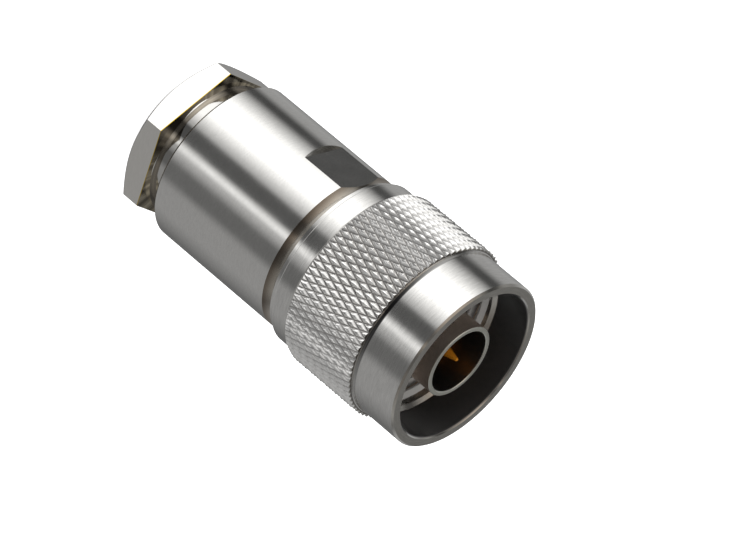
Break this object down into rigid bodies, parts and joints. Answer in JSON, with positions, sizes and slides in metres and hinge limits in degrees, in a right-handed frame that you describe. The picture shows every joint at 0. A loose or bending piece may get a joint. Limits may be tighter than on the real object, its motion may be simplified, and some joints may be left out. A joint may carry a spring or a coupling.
{
  "type": "coaxial cable plug",
  "caption": "N type coaxial cable plug: a knurled coupling nut around a tube with a gold pin, a barrel with spanner flats and a hexagonal clamp nut for the cable.",
  "frame": {"origin": "centre of the rear face of the clamp nut, on which the plug stands", "axes": "+Z along the axis towards the mouth; the spanner flats face +Y and -Y"},
  "size_m": [0.02, 0.02, 0.04],
  "materials": {
    "nut_plate": "white bronze plate, turned and knurled",
    "body_plate": "white bronze plate, satin turned",
    "tube_plate": "white bronze plate, satin",
    "clamp_plate": "white bronze plate, milled and polished",
    "spring_bronze": "bright spring bronze",
    "gold": "gold plate, polished",
    "plain_brass": "turned brass",
    "ptfe": "white fluoropolymer",
    "silicone": "dark silicone rubber",
    "black_rubber": "black rubber"
  },
  "bodies": {
    "barrel": {"body": "body_plate", "outer_contact": "tube_plate", "front_insulator": "ptfe", "centre_contact": "gold", "rear_insulator": "ptfe", "front_gasket": "silicone", "braid_clamp": "plain_brass", "cable_gasket": "black_rubber"},
    "ring": {"retaining_ring": "spring_bronze"},
    "nut": {"coupling_nut": "nut_plate"},
    "washer": {"slip_washer": "plain_brass"},
    "clamp": {"clamp_nut": "clamp_plate"}
  },
  "joints": [
    {"name": "nut_float", "type": "slide", "parent": "barrel", "child": "ring", "axis": [0, 0, 1], "range_m": [0, 0.0005]},
    {"name": "nut_spin", "type": "hinge", "parent": "ring", "child": "nut", "pos_m": [0, 0, 0.03], "axis": [0, 0, 1], "continuous": true},
    {"name": "clamp_travel", "type": "slide", "parent": "barrel", "child": "washer", "axis": [0, 0, -1], "range_m": [0, 0.005]},
    {"name": "clamp_turn", "type": "hinge", "parent": "washer", "child": "clamp", "pos_m": [0, 0, 0.005], "axis": [0, 0, -1], "range_deg": [0, 1801]}
  ],
  "couplings": [
    {"joint": "clamp_turn", "follows": "clamp_travel", "rad_per_m": 6283.2}
  ]
}
